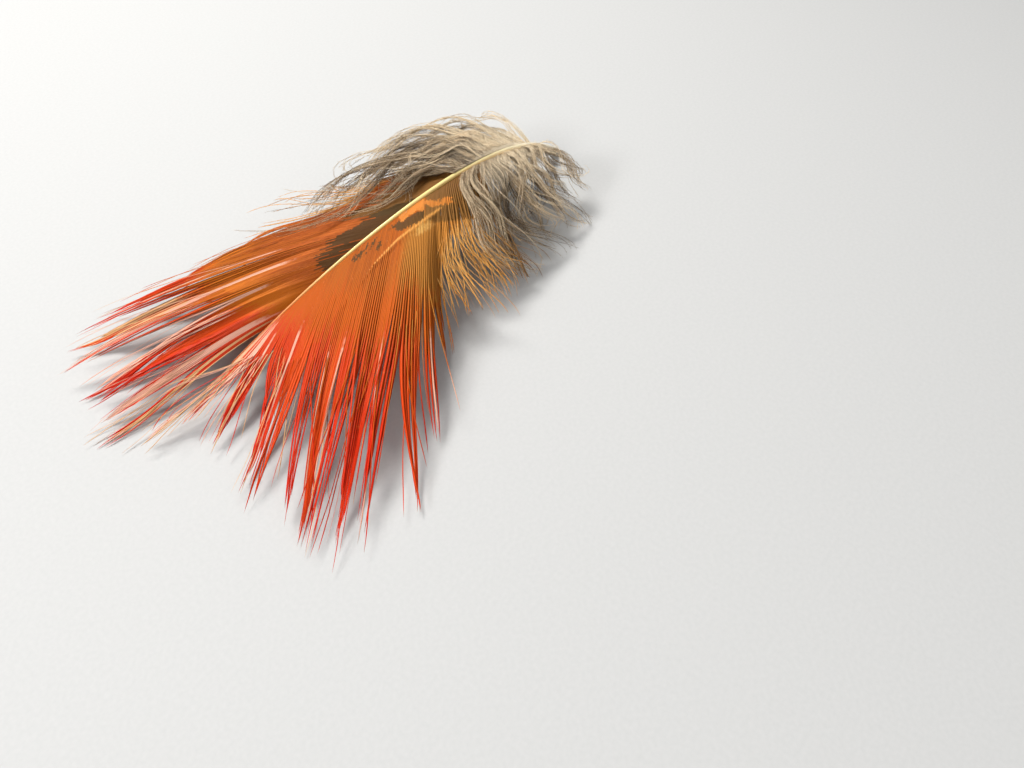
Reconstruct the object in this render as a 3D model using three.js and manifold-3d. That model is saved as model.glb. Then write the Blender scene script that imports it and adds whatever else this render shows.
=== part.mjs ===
// A pheasant's body feather, lying hollow side down on its own lock tips: one grown piece.
// Millimetres, +Z up. The quill's cut end points to +X, the red fringe to -X, the vane with the
// dark blotch is on the +Y side. The origin is on the ground under the middle of the feather.
import * as THREE from 'three';
import { LoftGeometry } from 'three/addons/geometries/LoftGeometry.js';
import { mergeVertices } from 'three/addons/utils/BufferGeometryUtils.js';
import Module from 'manifold-3d';

// Driving dimensions
const LENGTH = 94; // quill end to the tip of the longest lock
const BARE_QUILL = 8; // the calamus, before the first barb
const SHAFT_END = 67; // where the last barb leaves the shaft
const SHAFT_THREAD = 74; // the hair-thin end of the shaft, inside the last lock
const ARCH = 12; // height of the shaft's bow over the ground
const ARCH_RISE = 1.1; // how steeply the bow rises from the quill end
const ARCH_FALL = 2.2; // how slowly it falls towards the fringe
const SIDE_BOW = -0.8; // the shaft's slight bow to the -Y side
const SIDE_SWING = -2; // its first half swings to -Y by this much and its second half to +Y
const QUILL_END_HEIGHT = 0.4;

// Thickness of the shaft along its length: [distance from the quill end, radius]
const SHAFT_RADIUS = [
  [0, 0.5], [0.8, 0.68], [4, 0.8], [9, 0.74], [16, 0.6], [26, 0.48], [36, 0.41],
  [46, 0.34], [56, 0.27], [64, 0.21], [69, 0.17], [SHAFT_THREAD, 0.11],
];
const SHAFT_SIDES = 8;

// Angle between shaft and barb where the barb leaves it: [distance along the shaft, degrees]
const LEAVE_ANGLE = [
  [BARE_QUILL, 78], [20, 62], [30, 48], [38, 40], [50, 31], [58, 25], [SHAFT_END, 10],
];

// Locks of barbs from the quill to the fringe, one row each:
// [place on the shaft, tip along the feather, tip to the side, tip height]
// A height under 0 lets the lock reach the ground before its tip and lie on it.
const FAR_LOCKS = [
  [9.3, 5.5, 13.5, 2.0], [12.6, 12, 18, 1.0], [15.4, 17, 17, -2], [18.9, 24, 20.5, 0.6],
  [21.8, 29, 18.5, 1.4], [25.2, 36.5, 22, -1.8], [28, 43, 20, 1.0], [31, 50, 22.5, 0.8],
  [33.6, 57, 21, 1.8], [36.8, 66, 25, 0.6], [39, 71, 23, 2.4], [41.6, 79, 26, 0.4],
  [44.6, 84.5, 25, 1.8], [46.4, 88, 24.5, -2.6], [49.4, 91, 19.5, 0.8], [51.2, 87, 18.5, 2.4],
  [53.9, 91.5, 15, -2.6], [55.4, 88.5, 13.5, 2.0], [58.2, 86, 11, 0.6], [59.9, 90, 10, 1.6],
  [62.6, 92, 7.5, 0.4], [65.2, LENGTH, 4.5, -2.6],
];
const NEAR_LOCKS = [
  [9.3, 8, -13.5, 1.6], [12.1, 14, -13.5, 0.4], [15.6, 18, -18, -2], [18.4, 24.5, -16.5, 1.0],
  [21.9, 28.5, -20, 0.6], [24.6, 32, -18.5, -1.8], [27.9, 36, -18.5, 1.6], [30.6, 41, -17.5, 2.4],
  [33, 48, -18, 3.0], [34.8, 53.5, -20, 1.4], [36.2, 65, -29.5, 0.4], [37.8, 75, -34.6, -2.0],
  [39.8, 83, -31.2, 0.4], [42, 84.5, -30.5, -2.6], [45, 86.5, -28.5, 0.8], [48, 88, -25.5, -2.6],
  [51.4, 85, -23, 1.6], [53.6, 87.5, -18.5, 0.6], [56.4, 85.5, -15, -2.4], [58.6, 80, -10, 1.4],
  [61.2, 84, -6.5, 0.8], [63.4, 84.5, -1.5, 1.8], [65.9, 90, 0.5, 0.4],
];
// The afterfeather, soft locks that grow from the underside of the quill's upper end
const AFTER_LOCKS = [
  [8.2, 21, 13, 0.4], [9.4, 29, 11, -0.4], [10.6, 35, 8, 0.6], [11.8, 40, 5, 0.2],
];
const DOWN_FADE = [22, 34]; // between these places on the shaft the down gives way to firm vane
const DOWN_PUFF = 2.4; // how far the down stands up above a straight way to its tip
const DOWN_WAVE = 0.9; // sideways wave of a down lock
const WAVES = 1.4; // waves in the length of a down lock
const PHASE_STEP = 0.37; // each lock's wave starts this part of a turn after its neighbour's

// Each pair below is the value of the firm vane and that of the down
const DROOP = [1.7, 1.5]; // power of the height's fall along a barb
const SPREAD_START = [0.34, 0.5]; // part of a barb's length from which the locks part
const SPREAD_END = [1.04, 1.1]; // where they would all have drawn together
const TIP_WIDTH = [0.5, 1.5]; // width of a lock at its tip

// Cross-section of a lock: a low ridge with a flat underside
// [part of the length, thickness in the firm vane, thickness in the down]
const THICKNESS = [[0, 0.42, 0.6], [0.35, 0.55, 1.8], [0.8, 0.6, 1.5], [1, 0.25, 0.5]];
const OVERLAP = [0.2, 0.4]; // how far a lock reaches under its neighbour, each side
const RIDGE_SHARE = 0.5; // width of the ridge, as a part of the lock's width
const SHINGLE = 0.07; // every second lock lies this much higher

// How the vanes and the afterfeather leave the quill
const VANE = { below: 0.3, openness: 1, puff: DOWN_PUFF };
const AFTERFEATHER = { below: 1, openness: 0.4, puff: 0 };

const STATIONS = [0, 0.12, 0.25, 0.38, 0.5, 0.62, 0.74, 0.85, 0.94, 1];
const STEP = 0.005; // part of a length to look ahead for a direction
const UP = new THREE.Vector3(0, 0, 1);
const FEATHER_COLOR = 0xb4481f;

// Straight lines through a list of rows, read at one place: column 0 is the place
function along(rows, place, column = 1) {
  const last = rows.length - 1;
  if (place <= rows[0][0]) return rows[0][column];
  if (place >= rows[last][0]) return rows[last][column];
  const next = rows.findIndex((row) => row[0] > place);
  const before = rows[next - 1];
  const after = rows[next];
  const share = (place - before[0]) / (after[0] - before[0]);
  return THREE.MathUtils.lerp(before[column], after[column], share);
}

function archHeight(distance) {
  const share = Math.min(distance / LENGTH, 1);
  const peak = ARCH_RISE / (ARCH_RISE + ARCH_FALL);
  const rise = (share / peak) ** ARCH_RISE;
  const fall = ((1 - share) / (1 - peak)) ** ARCH_FALL;
  return QUILL_END_HEIGHT + ARCH * rise * fall;
}

// A point of the shaft's middle line; the feather runs from its quill end towards -X
function shaftPoint(distance) {
  const turn = (Math.PI * distance) / LENGTH;
  const sideways = SIDE_BOW * Math.sin(turn) + SIDE_SWING * Math.sin(2 * turn);
  return new THREE.Vector3(-distance, sideways, archHeight(distance));
}

// 1 where the feather is all down, near the quill, and 0 where it is firm vane
function downiness(place) {
  return 1 - THREE.MathUtils.smoothstep(place, ...DOWN_FADE);
}

function blend([firm, soft], place) {
  return THREE.MathUtils.lerp(firm, soft, downiness(place));
}

// A point on the barb that leaves the shaft at `place`, at the part `part` of its length.
// Seen from above the barb is an arc of a circle, which leaves the shaft at its own angle and
// ends at the tip read from the rows of locks; its height falls by a power of its length.
function barbPoint(rows, side, growth, place, part) {
  const root = shaftPoint(place);
  root.z -= growth.below;
  const tipForward = along(rows, place, 1) - place;
  const tipOut = side * (along(rows, place, 2) - root.y);
  const chord = Math.hypot(tipForward, tipOut);
  const leave = THREE.MathUtils.degToRad(along(LEAVE_ANGLE, place)) * growth.openness;
  const turn = 2 * (Math.atan2(tipOut, tipForward) - leave);
  const reach = (chord * Math.sin((turn / 2) * part)) / Math.sin(turn / 2);
  const forward = reach * Math.cos(leave + (turn / 2) * part);
  const out = reach * Math.sin(leave + (turn / 2) * part);
  const soft = downiness(place);
  const turns = WAVES * part + growth.phase;
  const wave = soft * DOWN_WAVE * part * Math.sin(2 * Math.PI * turns);
  const puff = soft * growth.puff * Math.sin(Math.PI * part);
  const fall = (root.z - along(rows, place, 3)) * part ** blend(DROOP, place);
  const height = Math.max(root.z + puff - fall, 0);
  return new THREE.Vector3(root.x - forward - wave, root.y + side * out, height);
}

// 1 where a lock's barbs still lie evenly in the vane, 0 where they have drawn together
function evenness(place, part) {
  const ends = [blend(SPREAD_START, place), blend(SPREAD_END, place)];
  return 1 - THREE.MathUtils.smoothstep(part, ...ends);
}

const wasm = await Module();
wasm.setup();

// A loft through closed sections as a solid, its shared corners merged
function loftSolid(sections) {
  const loft = new LoftGeometry(sections, { closed: true, capStart: true, capEnd: true });
  const surface = new THREE.BufferGeometry();
  surface.setAttribute('position', loft.getAttribute('position'));
  surface.setIndex(loft.getIndex());
  const merged = mergeVertices(surface, 1e-4);
  const mesh = new wasm.Mesh({
    numProp: 3,
    vertProperties: merged.attributes.position.array,
    triVerts: new Uint32Array(merged.index.array),
  });
  return new wasm.Manifold(mesh);
}

// One lock: a ridge with a flat underside, from the shaft's middle line to the barbs' tips
function lockSolid(rows, side, growth, index) {
  const place = rows[index][0];
  const before = index > 0 ? place - rows[index - 1][0] : rows[1][0] - place;
  const after = index < rows.length - 1 ? rows[index + 1][0] - place : before;
  const overlap = blend(OVERLAP, place);
  const lift = index % 2 === 1 ? SHINGLE : 0;
  const own = { ...growth, below: growth.below - lift, phase: index * PHASE_STEP };
  const point = (at, part) => barbPoint(rows, side, own, at, part);
  const sections = STATIONS.map((part) => {
    const even = evenness(place, part);
    const ahead = point(place, part + STEP).sub(point(place, part)).setZ(0).normalize();
    const across = UP.clone().cross(ahead).multiplyScalar(side);
    const halfTip = (blend(TIP_WIDTH, place) / 2) * (1 - even);
    const back = point(place - even * (before / 2 + overlap), part);
    const front = point(place + even * (after / 2 + overlap), part);
    back.addScaledVector(across, -halfTip);
    front.addScaledVector(across, halfTip);
    const thickness = blend([along(THICKNESS, part, 1), along(THICKNESS, part, 2)], place);
    const backRidge = back.clone().lerp(front, (1 - RIDGE_SHARE) / 2);
    const frontRidge = back.clone().lerp(front, (1 + RIDGE_SHARE) / 2);
    backRidge.addScaledVector(UP, thickness);
    frontRidge.addScaledVector(UP, thickness);
    const ring = [back, front, frontRidge, backRidge];
    return side > 0 ? ring : ring.reverse();
  });
  return loftSolid(sections);
}

// The shaft: a many-sided tube along its bowed middle line, tapering from quill to thread
function shaftSolid() {
  const sections = SHAFT_RADIUS.map(([distance, radius]) => {
    const middle = shaftPoint(distance);
    const ahead = shaftPoint(distance + LENGTH * STEP).sub(middle).normalize();
    const across = UP.clone().cross(ahead).normalize();
    const up = ahead.clone().cross(across);
    return Array.from({ length: SHAFT_SIDES }, (_, i) => {
      const turn = (2 * Math.PI * (i + 0.5)) / SHAFT_SIDES;
      const sideways = across.clone().multiplyScalar(radius * Math.cos(turn));
      return middle.clone().add(sideways).addScaledVector(up, radius * Math.sin(turn));
    });
  });
  return loftSolid(sections);
}

function rowOfLocks(rows, side, growth) {
  return rows.map((_, index) => lockSolid(rows, side, growth, index));
}

const afterLocksOtherSide = AFTER_LOCKS.map(([place, forward, out, height]) => [
  place, forward - 2, -out, height,
]);
const locks = [
  ...rowOfLocks(FAR_LOCKS, 1, VANE),
  ...rowOfLocks(NEAR_LOCKS, -1, VANE),
  ...rowOfLocks(AFTER_LOCKS, 1, AFTERFEATHER),
  ...rowOfLocks(afterLocksOtherSide, -1, AFTERFEATHER),
];
const fused = locks.reduce((whole, lock) => whole.add(lock), shaftSolid());
// Pockets sealed between neighbouring locks are filled: only the outer skin is kept
const skins = fused.decompose().sort((a, b) => b.volume() - a.volume());

// The fused solid as a geometry, its middle moved over the origin
function geometryOf(solid) {
  const { numProp, vertProperties, triVerts } = solid.getMesh();
  const { min, max } = solid.boundingBox();
  const geometry = new THREE.BufferGeometry();
  geometry.setAttribute('position', new THREE.BufferAttribute(vertProperties, numProp));
  geometry.setIndex(new THREE.BufferAttribute(triVerts, 1));
  geometry.translate(-(min[0] + max[0]) / 2, -(min[1] + max[1]) / 2, -min[2]);
  return geometry;
}

const feather = new THREE.Group();
const mesh = new THREE.Mesh(
  geometryOf(skins[0]),
  new THREE.MeshStandardMaterial({ color: FEATHER_COLOR, roughness: 0.7, metalness: 0 }),
);
mesh.name = 'feather';
feather.add(mesh);
export default feather;
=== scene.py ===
# %% [markdown]
# # A pheasant's body feather
# The feather is about 94 mm long and lies hollow side down on the tips of its barbs. Its parts are a horn
# shaft, two vanes of barbs that hook into a sheet near the shaft and split into a red fringe further out, loose
# grey-brown down at the foot, and a small second feather of down beneath it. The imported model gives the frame,
# and every piece is worked out in the same millimetres as the solids, so nothing has to be fitted by hand.

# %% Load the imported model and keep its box
import bpy
import numpy as np
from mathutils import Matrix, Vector


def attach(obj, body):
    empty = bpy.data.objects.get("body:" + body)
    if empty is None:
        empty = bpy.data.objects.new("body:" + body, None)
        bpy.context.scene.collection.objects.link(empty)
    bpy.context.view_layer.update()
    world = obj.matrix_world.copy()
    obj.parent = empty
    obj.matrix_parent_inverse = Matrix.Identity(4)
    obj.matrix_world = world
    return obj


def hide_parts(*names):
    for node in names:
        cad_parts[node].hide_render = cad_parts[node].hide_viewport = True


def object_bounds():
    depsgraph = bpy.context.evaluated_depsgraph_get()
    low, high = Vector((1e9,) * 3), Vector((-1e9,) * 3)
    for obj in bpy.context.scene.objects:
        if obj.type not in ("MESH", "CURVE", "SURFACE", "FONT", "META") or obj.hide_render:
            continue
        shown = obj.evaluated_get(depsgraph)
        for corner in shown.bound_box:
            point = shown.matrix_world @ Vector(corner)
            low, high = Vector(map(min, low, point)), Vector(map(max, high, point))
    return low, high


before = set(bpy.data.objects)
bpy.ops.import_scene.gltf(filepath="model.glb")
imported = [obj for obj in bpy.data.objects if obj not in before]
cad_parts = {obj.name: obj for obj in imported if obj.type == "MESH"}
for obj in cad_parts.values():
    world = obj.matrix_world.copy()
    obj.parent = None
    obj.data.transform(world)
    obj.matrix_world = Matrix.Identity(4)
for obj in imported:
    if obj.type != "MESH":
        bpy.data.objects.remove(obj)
cad_box = [[float(value) for value in corner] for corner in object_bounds()]
print("box of the packed model in metres:", cad_box)

# %% [markdown]
# ## Camera, floor and light
# The camera stands where the photograph was taken from: half a right angle and a little more above the table,
# looking across the frayed side towards the quill. The floor is pale paper, and three large soft lamps and a
# pale sky light the feather, the strongest from above and behind, so that the barbs show their gloss.

# %% Camera
MM = 0.001
VIEW_WIDTH_DEGREES = 66.0
SENSOR = 36.0
camera_place = np.array([-58.9, -71.7, 86.4]) * MM
camera_aim = np.array([-2.8, -25.7, 0.0]) * MM


def look_at(place, aim):
    """The turn that points an object's -Z axis from place to aim and keeps its X axis level."""
    return (Vector(aim) - Vector(place)).to_track_quat("-Z", "Y").to_euler()


camera_data = bpy.data.cameras.new("camera")
camera_data.sensor_width = SENSOR
camera_data.lens = SENSOR / 2 / np.tan(np.radians(VIEW_WIDTH_DEGREES / 2))
camera_data.clip_start = 0.005
camera = bpy.data.objects.new("camera", camera_data)
camera.location = camera_place
camera.rotation_euler = look_at(camera_place, camera_aim)
bpy.context.collection.objects.link(camera)
bpy.context.scene.camera = camera
print("lens in mm:", round(camera_data.lens, 2))

# %% Lamps and sky
LAMPS = {
    # name: place in mm, side in mm, watts, colour
    "lamp_behind": ([60, 260, 420], 180, 2.6, (1.0, 0.97, 0.92)),
    "lamp_left": ([-380, 60, 260], 120, 1.1, (1.0, 0.98, 0.96)),
    "lamp_front": ([80, -420, 380], 340, 0.6, (1.0, 0.97, 0.93)),
}
for name, (place, side, watts, color) in LAMPS.items():
    lamp_data = bpy.data.lights.new(name, "AREA")
    lamp_data.size = side * MM
    lamp_data.energy = watts
    lamp_data.color = color
    lamp = bpy.data.objects.new(name, lamp_data)
    lamp.location = np.array(place) * MM
    lamp.rotation_euler = look_at(np.array(place) * MM, (0, 0, 0))
    bpy.context.collection.objects.link(lamp)

world = bpy.data.worlds.new("pale_sky")
world.use_nodes = True
world.node_tree.nodes["Background"].inputs["Color"].default_value = (0.9, 0.92, 0.95, 1)
world.node_tree.nodes["Background"].inputs["Strength"].default_value = 0.22
bpy.context.scene.world = world
bpy.context.scene.view_settings.view_transform = "Standard"

# %% [markdown]
# ## Numbers of the form
# These are the driving dimensions of the solids, in millimetres, so the barbs fill the locks they stand for. A
# place is a distance along the feather from the quill's end. Each lock is a clump of barbs with its place on
# the shaft and the point where its tip lies, and a negative height means that it touches the ground before its tip.

# %% Shaft and vane dimensions
LENGTH = 94.0
SHAFT_END = 67.0
SHAFT_THREAD = 74.0
ARCH = 12.0
ARCH_RISE = 1.1
ARCH_FALL = 2.2
SIDE_BOW = -0.8
SIDE_SWING = -2.0
QUILL_END_HEIGHT = 0.4
SIDE_SHIFT = 4.284
FORWARD_SHIFT = cad_box[0][0] / MM + LENGTH
SHAFT_RADIUS = np.array([
    [0, 0.5], [0.8, 0.68], [4, 0.8], [9, 0.74], [16, 0.6], [26, 0.48], [36, 0.41], [46, 0.34], [56, 0.27],
    [64, 0.21], [69, 0.17], [SHAFT_THREAD, 0.11],
])
LEAVE_ANGLE = np.array([[8, 78], [20, 62], [30, 48], [38, 40], [50, 31], [58, 25], [SHAFT_END, 10]])
DOWN_FADE = (22.0, 34.0)
DOWN_PUFF = 2.4
DOWN_WAVE = 0.9
WAVES = 1.4
PHASE_STEP = 0.37
DROOP = (1.7, 1.5)
SOFT_LANDING = 1.2
SPREAD_START = np.array([[20, 0.5], [30, 0.46], [36, 0.52], [44, 0.42], [56, 0.28], [SHAFT_END, 0.2]])
SPREAD_END = (1.04, 1.1)
TIP_WIDTH = (0.5, 1.5)

# %% Locks of both sides
BLOTCHED_LOCKS = np.array([
    [9.3, 5.5, 13.5, 2.0], [12.6, 12, 18, 1.0], [15.4, 17, 17, -2], [18.9, 24, 20.5, 0.6],
    [21.8, 29, 18.5, 1.4], [25.2, 36.5, 22, -1.8], [28, 43, 20, 1.0], [31, 50, 22.5, 0.8],
    [33.6, 57, 21, 1.8], [36.8, 66, 25, 0.6], [39, 71, 23, 2.4], [41.6, 79, 26, 0.4],
    [44.6, 84.5, 25, 1.8], [46.4, 88, 24.5, -2.6], [49.4, 91, 19.5, 0.8], [51.2, 87, 18.5, 2.4],
    [53.9, 91.5, 15, -2.6], [55.4, 88.5, 13.5, 2.0], [58.2, 86, 11, 0.6], [59.9, 90, 10, 1.6],
    [62.6, 92, 7.5, 0.4], [65.2, LENGTH, 4.5, -2.6],
])
FRAYED_LOCKS = np.array([
    [9.3, 8, -13.5, 1.6], [12.1, 14, -13.5, 0.4], [15.6, 18, -18, -2], [18.4, 24.5, -16.5, 1.0],
    [21.9, 28.5, -20, 0.6], [24.6, 32, -18.5, -1.8], [27.9, 36, -18.5, 1.6], [30.6, 41, -17.5, 2.4],
    [33, 48, -18, 3.0], [34.8, 53.5, -20, 1.4], [36.2, 65, -29.5, 0.4], [37.8, 75, -34.6, -2.0],
    [39.8, 83, -31.2, 0.4], [42, 84.5, -30.5, -2.6], [45, 86.5, -28.5, 0.8], [48, 88, -25.5, -2.6],
    [51.4, 85, -23, 1.6], [53.6, 87.5, -18.5, 0.6], [56.4, 85.5, -15, -2.4], [58.6, 80, -10, 1.4],
    [61.2, 84, -6.5, 0.8], [63.4, 84.5, -1.5, 1.8], [65.9, 90, 0.5, 0.4],
])
AFTER_LOCKS = np.array([[8.2, 21, 13, 0.4], [9.4, 29, 11, -0.4], [10.6, 35, 8, 0.6], [11.8, 40, 5, 0.2]])
AFTER_LOCKS_OTHER = AFTER_LOCKS * [1, 1, -1, 1] - [0, 2, 0, 0]
print("locks:", len(BLOTCHED_LOCKS), "blotched,", len(FRAYED_LOCKS), "frayed,", 2 * len(AFTER_LOCKS), "beneath")

# %% [markdown]
# ## The surface that the barbs follow
# A barb leaves the shaft at an angle and bends towards its tip. In plan that is an arc of a circle, found from
# the leaving angle and the tip. Its height falls from the arched shaft to the ground as a power of the way
# along it. Down puffs up and waves on top of that. All of it is one function of place and part, where part runs
# from 0 at the shaft to 1 at the tip.

# %% Shaft line and barb surface
def smooth(value, start, end):
    """0 before start, 1 after end, and three times the square less twice the cube of the share between."""
    share = np.clip((value - start) / (end - start), 0, 1)
    return share * share * (3 - 2 * share)


def shaft_point(place):
    """Points of the shaft's axis: straight along X, a half and a whole sine wave sideways, a skewed arch upwards."""
    share = np.clip(place / LENGTH, 0, 1)
    peak = ARCH_RISE / (ARCH_RISE + ARCH_FALL)
    height = ARCH * (share / peak) ** ARCH_RISE * ((1 - share) / (1 - peak)) ** ARCH_FALL
    turn = np.pi * place / LENGTH
    sideways = SIDE_BOW * np.sin(turn) + SIDE_SWING * np.sin(2 * turn)
    return np.stack([FORWARD_SHIFT - place, SIDE_SHIFT + sideways, QUILL_END_HEIGHT + height], -1)


def downiness(place):
    """1 in the down and 0 in the firm vane, with a smooth step between."""
    return 1 - smooth(place, *DOWN_FADE)


def blend(pair, place):
    """The first of the pair in the firm vane and the second in the down."""
    return pair[0] + (pair[1] - pair[0]) * downiness(place)


def barb_point(locks, side, place, part, below=0.3, openness=1.0, puff=DOWN_PUFF, phase=0.0):
    """Circle's arc in plan from the shaft to the tip, with a height that falls as a power of the part."""
    root = shaft_point(place)
    tip_forward, tip_side, tip_height = (np.interp(place, locks[:, 0], locks[:, k]) for k in (1, 2, 3))
    forward_chord = tip_forward - place
    out_chord = side * (tip_side + SIDE_SHIFT - root[..., 1])
    leave = np.radians(np.interp(place, LEAVE_ANGLE[:, 0], LEAVE_ANGLE[:, 1])) * openness
    bend = np.arctan2(out_chord, forward_chord) - leave
    reach = np.hypot(forward_chord, out_chord) * np.sin(bend * part) / np.sin(bend)
    forward = reach * np.cos(leave + bend * part)
    out = reach * np.sin(leave + bend * part)
    soft = downiness(place)
    wave = soft * DOWN_WAVE * part * np.sin(2 * np.pi * (WAVES * part + phase))
    fall = (root[..., 2] - below - tip_height) * part ** blend(DROOP, place)
    height = root[..., 2] - below + soft * puff * np.sin(np.pi * part) - fall
    landing = SOFT_LANDING * smooth(-tip_height, -0.5, 1.0)
    height = (height + np.hypot(height, landing)) / 2
    return np.stack([root[..., 0] - forward - wave, root[..., 1] + side * out, height], -1)


print("highest point of the shaft in mm:", round(float(shaft_point(np.linspace(0, LENGTH, 200))[:, 2].max()), 2))

# %% [markdown]
# ## Barbs that gather in locks
# Near the shaft the barbs lie side by side and hook into each other. Further out the barbs of a lock draw
# together into a pointed clump. So each barb follows the surface at its own place at first and slides towards
# its lock's place on the way out, and the last distance between barbs is set across the lock.

# %% Places, locks and paths of barbs
def plan_barbs(locks, first, last, spacing, dice):
    """Even places with a little chance, each with its lock and its rank in it, from -1 to 1 across the lock."""
    count = int(round((last - first) / spacing))
    step = (last - first) / count
    place = first + (np.arange(count) + 0.5 + dice.uniform(-0.06, 0.06, count)) * step
    cores = locks[:, 0]
    borders = (cores[1:] + cores[:-1]) / 2
    low = np.r_[2 * cores[0] - borders[0], borders]
    high = np.r_[borders, 2 * cores[-1] - borders[-1]]
    lock = np.searchsorted(borders, place)
    away = place - cores[lock]
    room = np.where(away > 0, high[lock] - cores[lock], cores[lock] - low[lock])
    return {"place": place, "lock": lock, "core": cores[lock], "rank": away / room}


def unit(vectors):
    """Vectors divided by their lengths."""
    return vectors / np.maximum(np.linalg.norm(vectors, axis=-1, keepdims=True), 1e-9)


def directions(paths, side):
    """For each point of each path: along it, across it and level, and out of the vane's upper face."""
    along = unit(np.gradient(paths, axis=1))
    across = side * unit(np.cross([0.0, 0.0, 1.0], along))
    return along, across, side * np.cross(along, across)


def lock_paths(locks, side, plan, part, gather=1.0, **growth):
    """Each barb keeps its own place near the shaft, and slides to its lock's place and rank further out."""
    core = plan["core"][:, None]
    starts = np.interp(core, SPREAD_START[:, 0], SPREAD_START[:, 1])
    even = 1 - smooth(part, starts, blend(SPREAD_END, core))
    place = core + (plan["place"][:, None] - core) * even
    paths = barb_point(locks, side, place, part, phase=plan["lock"][:, None] * PHASE_STEP, **growth)
    along, across, out = directions(paths, side)
    tip = blend(TIP_WIDTH, core) / 2 * (1 - even) * (gather * plan["rank"])[:, None]
    return paths + across * tip[..., None], even


def wander(dice, count, part, size, waves):
    """Slow sideways drift of each barb: two sine waves of its own phase that grow with the square of part."""
    phase = dice.uniform(0, 1, (2, count, 1))
    swing = np.sin(2 * np.pi * (waves * part + phase[0])) + 0.5 * np.sin(2 * np.pi * (2.3 * waves * part + phase[1]))
    return size * swing * part ** 2


# %% [markdown]
# ## From paths to closed meshes
# A barb, a strand of down and a barbule are all the same thing in code: a small section carried along a path
# and drawn to a point. One function takes the rings of many such pieces at once, joins neighbouring rings with
# quads, closes the tip with triangles and the root with one face, and writes it all with foreach_set. Each
# piece gets its own column on the UV map, wider for the faces that are seen from above.

# %% Rings joined into one closed mesh
def cells_in_row(count, left, right):
    """Corners of equal cells on the UV map that stand side by side from left to right, each the map's full height."""
    wide = (right - left) / count
    start = left + np.arange(count) * wide
    return np.stack([start, 0 * start, start + 0.9 * wide, 0 * start + 1], -1)


def cells_in_grid(count, low, high):
    """Corners of equal cells on the UV map, in rows, in the rectangle from low to high."""
    wide = int(np.ceil(np.sqrt(count * (high[0] - low[0]) / (high[1] - low[1]) * 0.5)))
    tall = int(np.ceil(count / wide))
    column, row = np.arange(count) % wide, np.arange(count) // wide
    size = np.array([(high[0] - low[0]) / wide, (high[1] - low[1]) / tall])
    corner = np.stack([low[0] + column * size[0], low[1] + row * size[1]], -1)
    return np.concatenate([corner, corner + size * [0.92, 0.96]], -1)


def pointed_tubes(rings, cells, shares):
    """Vertices, faces and face UVs of closed tubes. rings is tube x station x corner x 3, the last station being
    the point. cells gives each tube's rectangle on the map, and shares how wide each side of the ring is on it."""
    tubes, stations, corners, _ = rings.shape
    body = stations - 1
    vertices = np.concatenate([rings[:, :body].reshape(tubes, -1, 3), rings[:, body:, 0]], 1)
    per_tube = body * corners + 1
    first = np.arange(tubes)[:, None, None] * per_tube
    j, c = np.meshgrid(np.arange(body - 1), np.arange(corners), indexing="ij")
    n = (c + 1) % corners
    quads = np.stack([j * corners + c, j * corners + n, (j + 1) * corners + n, (j + 1) * corners + c], -1)
    c = np.arange(corners)
    n = (c + 1) % corners
    last = (body - 1) * corners
    tips = np.stack([last + c, last + n, np.full(corners, body * corners)], -1)
    edge = np.concatenate([[0], np.cumsum(shares)]) / np.sum(shares)
    level = 0.06 + 0.94 * np.arange(stations) / body

    def on_map(across, up):
        """Shares of a cell made map coordinates, for every tube."""
        size = cells[:, 2:] - cells[:, :2]
        spot = np.stack([across, up], -1)
        return cells[:, None, None, :2] + spot[None] * size[:, None, None]

    j, c = np.meshgrid(np.arange(body - 1), np.arange(corners), indexing="ij")
    quad_map = on_map(np.stack([edge[c], edge[c + 1], edge[c + 1], edge[c]], -1).reshape(-1, 4),
                      np.stack([level[j], level[j], level[j + 1], level[j + 1]], -1).reshape(-1, 4))
    c = np.arange(corners)
    tip_map = on_map(np.stack([edge[c], edge[c + 1], (edge[c] + edge[c + 1]) / 2], -1),
                     np.stack([level[-2] + 0 * c, level[-2] + 0 * c, level[-1] + 0 * c], -1))
    turn = 2 * np.pi * np.arange(corners) / corners
    root_map = on_map((0.5 + 0.4 * np.cos(turn))[None, ::-1], (0.025 + 0.02 * np.sin(turn))[None, ::-1])
    quads = quads.reshape(1, -1, 4) + first
    tips = tips[None] + first
    roots = np.arange(corners)[None, None, ::-1] + first
    return vertices.reshape(-1, 3), (quads, tips, roots), (quad_map, tip_map, root_map)


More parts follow.
